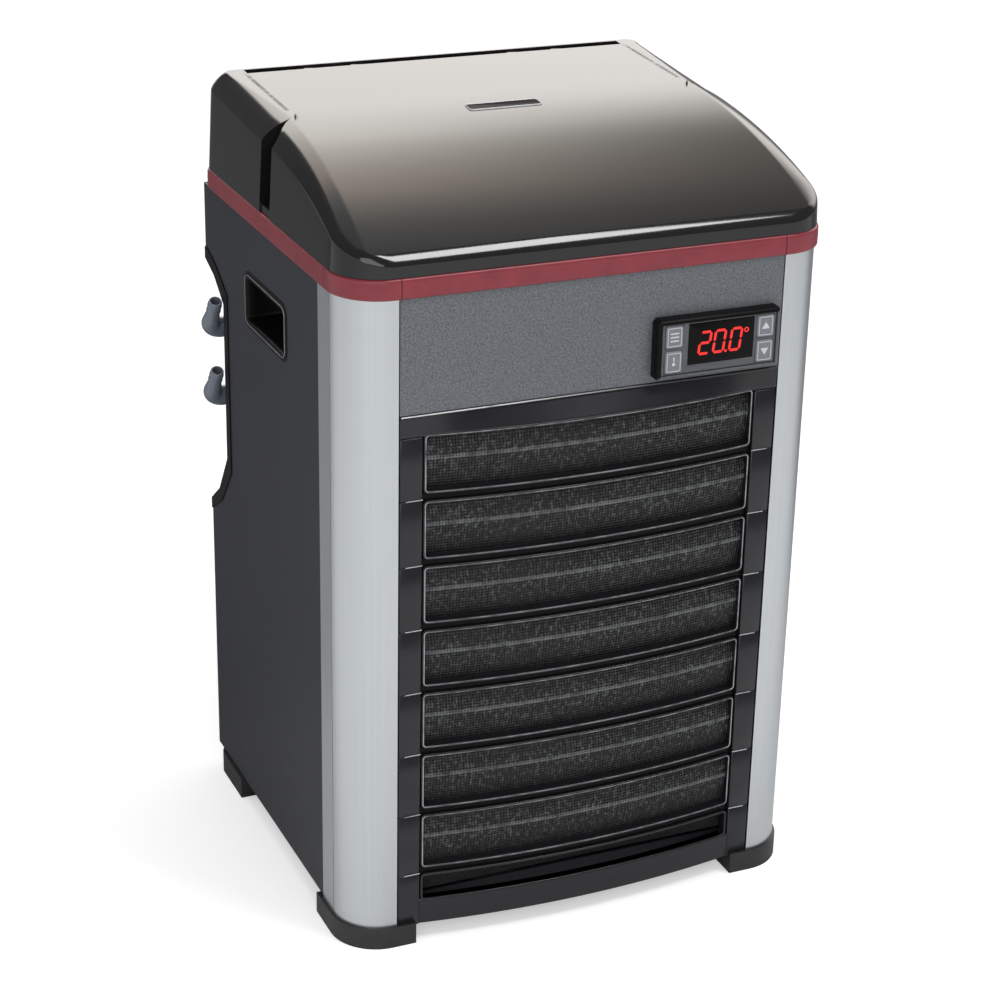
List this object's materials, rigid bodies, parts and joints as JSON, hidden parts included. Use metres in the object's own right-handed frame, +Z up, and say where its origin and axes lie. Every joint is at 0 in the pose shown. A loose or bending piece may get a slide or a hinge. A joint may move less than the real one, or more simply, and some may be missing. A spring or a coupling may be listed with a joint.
{
  "type": "aquarium chiller",
  "caption": "Cabinet aquarium water chiller: front air grille with filter, panel thermostat, hinged top lid over a service space, rear hose pocket with swivel elbows.",
  "frame": {"origin": "centre of the footprint's bounding box, on the floor under the feet", "axes": "+X to the right seen from the front, +Y to the rear, +Z up"},
  "size_m": [0.3374, 0.289, 0.5225],
  "materials": {
    "cabinet_metal": "fine satin powder coat, charcoal",
    "hammered_metal": "hammered grey paint",
    "zinc_sheet": "galvanised sheet",
    "post_metal": "satin anodised extrusion",
    "foot_plastic": "moulded, fine grain",
    "band_plastic": "burgundy, smooth",
    "hood_plastic": "black, polished",
    "pin_steel": "zinc plated steel",
    "badge_plate": "smooth bare plate",
    "grille_plastic": "satin moulded black",
    "mesh_plastic": "fine square grid",
    "filter_foam": "open cell foam",
    "recess_plastic": "moulded black",
    "fitting_plastic": "blue grey moulded",
    "bezel_plastic": "blue grey, smooth",
    "display_glass": "dark display window",
    "key_plastic": "soft touch keys",
    "copper": "drawn copper tube",
    "fin_metal": "thin rolled fins",
    "motor_metal": "black enamel",
    "rotor_plastic": "moulded blades",
    "compressor_paint": "black stove enamel",
    "mount_rubber": "moulded rubber",
    "terminal_plastic": "grey electrical box",
    "tank_plastic": "off white moulding",
    "titanium": "drawn titanium tube",
    "pipe_rubber": "grey water hose"
  },
  "bodies": {
    "cabinet": {"side_panel_left": "cabinet_metal", "side_panel_right": "cabinet_metal", "rear_panel": "cabinet_metal", "base_pan": "cabinet_metal", "front_panel": "hammered_metal", "service_deck": "zinc_sheet", "fan_shroud": "zinc_sheet", "motor_bracket": "zinc_sheet", "post_left": "post_metal", "post_right": "post_metal", "foot_front_left": "foot_plastic", "foot_front_right": "foot_plastic", "foot_rear_left": "foot_plastic", "foot_rear_right": "foot_plastic", "trim_front": "band_plastic", "trim_rear": "band_plastic", "trim_left": "band_plastic", "trim_right": "band_plastic", "trim_corner_front_left": "band_plastic", "trim_corner_front_right": "band_plastic", "trim_corner_rear_left": "band_plastic", "trim_corner_rear_right": "band_plastic", "hood_rear": "hood_plastic", "lid_hinge_pin": "pin_steel", "case_screws": "pin_steel", "handle_cup_left": "recess_plastic", "handle_cup_right": "recess_plastic", "connection_pocket": "recess_plastic", "thermostat_case": "recess_plastic", "tank_cap": "recess_plastic", "power_inlet": "recess_plastic", "union_body_upper": "fitting_plastic", "union_body_lower": "fitting_plastic", "union_nut_upper": "fitting_plastic", "union_nut_lower": "fitting_plastic", "thermostat_bezel": "bezel_plastic", "display_window": "display_glass", "condenser_tubes": "copper", "refrigerant_lines": "copper", "filter_drier": "copper", "condenser_fins": "fin_metal", "fan_motor": "motor_metal", "compressor": "compressor_paint", "compressor_mounts": "mount_rubber", "terminal_box": "terminal_plastic", "tank": "tank_plastic", "titanium_coil": "titanium", "water_pipes": "pipe_rubber"},
    "lid": {"lid": "hood_plastic", "lid_badge": "badge_plate"},
    "grille": {"grille_frame": "grille_plastic", "grille_mesh": "mesh_plastic", "filter_mat": "filter_foam"},
    "fan": {"fan_rotor": "rotor_plastic"},
    "elbow_upper": {"hose_elbow_upper": "fitting_plastic"},
    "elbow_lower": {"hose_elbow_lower": "fitting_plastic"},
    "set_key": {"key_set": "key_plastic"},
    "power_key": {"key_power": "key_plastic"},
    "up_key": {"key_up": "key_plastic"},
    "down_key": {"key_down": "key_plastic"}
  },
  "joints": [
    {"name": "lid_hinge", "type": "hinge", "parent": "cabinet", "child": "lid", "pos_m": [0.004, 0.1258, 0.51733], "axis": [-1, 0, 0], "range_deg": [0, 70]},
    {"name": "grille_pull_off", "type": "slide", "parent": "cabinet", "child": "grille", "axis": [0, -1, 0], "range_m": [0, 0.15]},
    {"name": "fan_spin", "type": "hinge", "parent": "cabinet", "child": "fan", "pos_m": [0.004, -0.0642, 0.1935], "axis": [0, 1, 0], "continuous": true},
    {"name": "upper_elbow_swivel", "type": "hinge", "parent": "cabinet", "child": "elbow_upper", "pos_m": [-0.1165, 0.1305, 0.345], "axis": [-1, 0, 0], "range_deg": [0, 125]},
    {"name": "lower_elbow_swivel", "type": "hinge", "parent": "cabinet", "child": "elbow_lower", "pos_m": [-0.1165, 0.1305, 0.295], "axis": [-1, 0, 0], "range_deg": [0, 125]},
    {"name": "set_key_press", "type": "slide", "parent": "cabinet", "child": "set_key", "axis": [0, 1, 0], "range_m": [0, 0.0008], "stiffness_N_per_m": 250},
    {"name": "power_key_press", "type": "slide", "parent": "cabinet", "child": "power_key", "axis": [0, 1, 0], "range_m": [0, 0.0008], "stiffness_N_per_m": 250},
    {"name": "up_key_press", "type": "slide", "parent": "cabinet", "child": "up_key", "axis": [0, 1, 0], "range_m": [0, 0.0008], "stiffness_N_per_m": 250},
    {"name": "down_key_press", "type": "slide", "parent": "cabinet", "child": "down_key", "axis": [0, 1, 0], "range_m": [0, 0.0008], "stiffness_N_per_m": 250}
  ]
}
